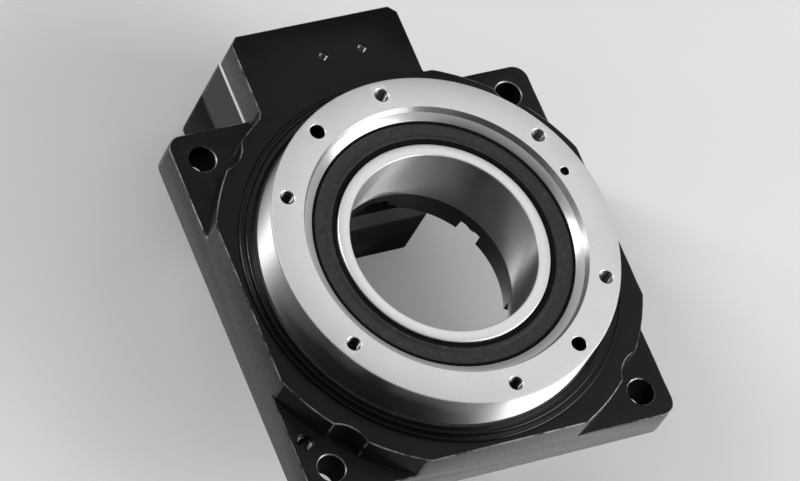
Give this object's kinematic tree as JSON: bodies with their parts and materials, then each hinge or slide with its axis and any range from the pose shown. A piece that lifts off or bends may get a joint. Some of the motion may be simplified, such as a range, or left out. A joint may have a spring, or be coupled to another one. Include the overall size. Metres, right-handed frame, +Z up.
{
  "type": "precision rotary platform",
  "caption": "Hollow rotary platform: a geared round table on a crossed-roller bearing in a square black body, driven through a pinion from a motor adapter hanging at its back.",
  "frame": {"origin": "on the axis of the table, in the plane of the mounting face under the base, at the centre of the four base bolt holes", "axes": "+Z up along the table's axis to its face, +Y towards the motor block and its hanging adapter, +X to the right of that"},
  "size_m": [0.13, 0.1552, 0.0715],
  "materials": {
    "black_body": "black anodised, satin",
    "adapter_body": "black anodised, satin",
    "gloss_black": "gloss black, slightly worn edges",
    "table_steel": "fine ground face, turned rim",
    "ground_steel": "ground and polished",
    "bearing_steel": "ground, bright",
    "gear_steel": "hardened, greased",
    "spring_steel": "blued spring steel",
    "black_oxide": "black oxide",
    "screw_steel": "black oxide, worn sockets",
    "cage_brass": "machined",
    "seal_rubber": "matt nitrile rubber",
    "shim_white": "white, flat",
    "plug_plastic": "black, fine grain"
  },
  "bodies": {
    "body": {"housing": "black_body", "dust_ring": "gloss_black", "table_wiper": "seal_rubber", "center_sleeve": "ground_steel", "sleeve_screws": "screw_steel", "bearing_inner_ring": "bearing_steel", "bearing_circlip": "spring_steel", "upper_bearing_outer": "bearing_steel", "lower_bearing_outer": "bearing_steel", "outer_spacer": "bearing_steel", "pinion_circlip": "spring_steel", "bearing_carrier": "black_body", "shim_plate": "shim_white", "adapter_gasket": "seal_rubber", "motor_adapter": "adapter_body", "adapter_screws": "screw_steel", "carrier_screws": "screw_steel", "adapter_dowels": "bearing_steel", "access_plug": "plug_plastic"},
    "table": {"rotary_table": "table_steel", "table_seal": "seal_rubber", "bearing_outer_ring": "bearing_steel", "ring_gear": "gear_steel", "gear_screws": "screw_steel"},
    "roller_set": {"bearing_rollers": "bearing_steel", "bearing_cage": "cage_brass"},
    "pinion": {"pinion_shaft": "gear_steel", "upper_bearing_inner": "bearing_steel", "lower_bearing_inner": "bearing_steel", "inner_spacer": "bearing_steel", "clamp_collar": "black_oxide", "clamp_screw": "screw_steel"},
    "upper_ball_set": {"upper_bearing_balls": "bearing_steel", "upper_bearing_cage": "cage_brass"},
    "lower_ball_set": {"lower_bearing_balls": "bearing_steel", "lower_bearing_cage": "cage_brass"}
  },
  "joints": [
    {"name": "table_spin", "type": "hinge", "parent": "body", "child": "table", "pos_m": [0, 0, 0.025], "axis": [0, 0, 1], "continuous": true},
    {"name": "roller_orbit", "type": "hinge", "parent": "body", "child": "roller_set", "pos_m": [0, 0, 0.025], "axis": [0, 0, 1], "continuous": true},
    {"name": "pinion_spin", "type": "hinge", "parent": "body", "child": "pinion", "pos_m": [-0.0055, 0.06025, 0], "axis": [0, 0, 1], "continuous": true},
    {"name": "upper_ball_orbit", "type": "hinge", "parent": "body", "child": "upper_ball_set", "pos_m": [-0.0055, 0.06025, 0.0053], "axis": [0, 0, 1], "continuous": true},
    {"name": "lower_ball_orbit", "type": "hinge", "parent": "body", "child": "lower_ball_set", "pos_m": [-0.0055, 0.06025, -0.0057], "axis": [0, 0, 1], "continuous": true}
  ],
  "couplings": [
    {"joint": "pinion_spin", "follows": "table_spin", "ratio": -10},
    {"joint": "roller_orbit", "follows": "table_spin", "ratio": 0.5221},
    {"joint": "upper_ball_orbit", "follows": "table_spin", "ratio": -4.0233},
    {"joint": "lower_ball_orbit", "follows": "table_spin", "ratio": -4.0233}
  ]
}
